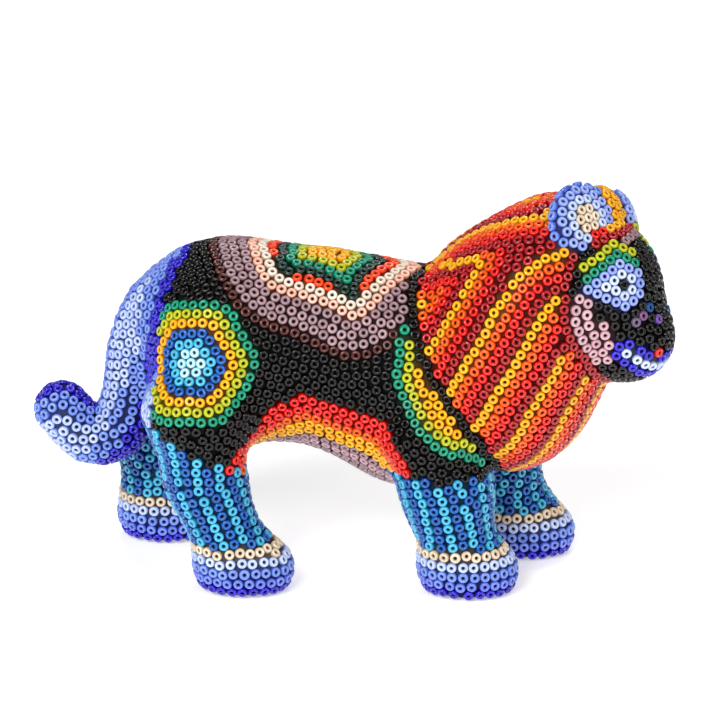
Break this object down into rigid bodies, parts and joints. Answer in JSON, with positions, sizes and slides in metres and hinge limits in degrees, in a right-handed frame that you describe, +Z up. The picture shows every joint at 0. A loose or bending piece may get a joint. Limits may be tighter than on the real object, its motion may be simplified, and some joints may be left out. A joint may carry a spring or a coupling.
{
  "type": "beaded lion figure",
  "caption": "Standing lion figure covered all over with glass seed beads set in wax on a carved wooden core, in Huichol style.",
  "frame": {"origin": "on the ground, under the middle of the bounding box", "axes": "+X is where the lion faces, +Y is its left side, +Z is up"},
  "size_m": [0.1341, 0.0541, 0.0863],
  "materials": {
    "glass_orange": "opaque or lined glass seed bead, glossy",
    "glass_red": "opaque or lined glass seed bead, glossy",
    "glass_pink": "opaque or lined glass seed bead, glossy",
    "glass_green": "opaque or lined glass seed bead, glossy",
    "glass_lime": "opaque or lined glass seed bead, glossy",
    "dowel_wood": "plain hardwood pin",
    "carved_wood": "carved light wood, unfinished",
    "glass_cream": "opaque or lined glass seed bead, glossy",
    "glass_soft_periwinkle": "opaque or lined glass seed bead, glossy",
    "glass_pale_blue": "opaque or lined glass seed bead, glossy",
    "glass_periwinkle": "opaque or lined glass seed bead, glossy",
    "glass_black": "opaque or lined glass seed bead, glossy",
    "glass_white": "opaque or lined glass seed bead, glossy",
    "glass_mauve": "opaque or lined glass seed bead, glossy",
    "beeswax": "brown beeswax and pine resin, satin",
    "glass_aqua": "opaque or lined glass seed bead, glossy",
    "glass_cobalt": "opaque or lined glass seed bead, glossy",
    "glass_turquoise": "opaque or lined glass seed bead, glossy",
    "glass_dark_red": "opaque or lined glass seed bead, glossy",
    "glass_yellow": "opaque or lined glass seed bead, glossy",
    "glass_iridescent": "opaque or lined glass seed bead, glossy",
    "glass_ultramarine": "opaque or lined glass seed bead, glossy",
    "glass_nose_red": "opaque or lined glass seed bead, glossy",
    "glass_blue": "opaque or lined glass seed bead, glossy",
    "glass_dark_green": "opaque or lined glass seed bead, glossy",
    "glass_maroon": "opaque or lined glass seed bead, glossy",
    "glass_orange_red": "opaque or lined glass seed bead, glossy",
    "glass_peach": "opaque or lined glass seed bead, glossy",
    "glass_beige": "opaque or lined glass seed bead, glossy",
    "glass_light_blue": "opaque or lined glass seed bead, glossy"
  },
  "bodies": {
    "root": {"band_orange_beads": "glass_orange", "band_red_beads": "glass_red", "belly_pink_beads": "glass_pink", "brow_green_beads": "glass_green", "brow_lime_beads": "glass_lime", "cheek_pink_beads": "glass_pink", "dowels": "dowel_wood", "ear_cores": "carved_wood", "ear_cream_beads": "glass_cream", "ear_light_blue_beads": "glass_soft_periwinkle", "ear_pale_beads": "glass_pale_blue", "ear_periwinkle_beads": "glass_periwinkle", "eye_periwinkle_beads": "glass_soft_periwinkle", "face_black_beads": "glass_black", "face_white_beads": "glass_white", "forehead_mauve_beads": "glass_mauve", "front_left_leg_core": "carved_wood", "front_left_leg_wax": "beeswax", "front_right_leg_core": "carved_wood", "front_right_leg_wax": "beeswax", "haunch_aqua_beads": "glass_aqua", "haunch_cobalt_beads": "glass_cobalt", "haunch_turquoise_beads": "glass_turquoise", "head_core": "carved_wood", "head_wax": "beeswax", "hind_left_leg_core": "carved_wood", "hind_left_leg_wax": "beeswax", "hind_right_leg_core": "carved_wood", "hind_right_leg_wax": "beeswax", "leg_cobalt_beads": "glass_cobalt", "leg_turquoise_beads": "glass_turquoise", "mane_dark_red_beads": "glass_dark_red", "mane_orange_beads": "glass_orange", "mane_red_beads": "glass_red", "mane_yellow_beads": "glass_yellow", "muzzle_iridescent_beads": "glass_iridescent", "muzzle_ultramarine_beads": "glass_ultramarine", "nose_red_beads": "glass_nose_red", "paw_blue_beads": "glass_blue", "paw_cream_beads": "glass_cream", "paw_pale_beads": "glass_pale_blue", "paw_periwinkle_beads": "glass_periwinkle", "paw_ultramarine_beads": "glass_ultramarine", "saddle_dark_green_beads": "glass_dark_green", "saddle_maroon_beads": "glass_maroon", "saddle_orange_red_beads": "glass_orange_red", "saddle_peach_beads": "glass_peach", "saddle_white_beads": "glass_beige", "tail_core": "carved_wood", "tail_light_blue_beads": "glass_light_blue", "tail_periwinkle_beads": "glass_periwinkle", "tail_ultramarine_beads": "glass_ultramarine", "tail_wax": "beeswax", "torso_black_beads": "glass_black", "torso_core": "carved_wood", "torso_green_beads": "glass_green", "torso_lime_beads": "glass_lime", "torso_mauve_beads": "glass_mauve", "torso_wax": "beeswax", "torso_yellow_beads": "glass_yellow"}
  },
  "joints": []
}
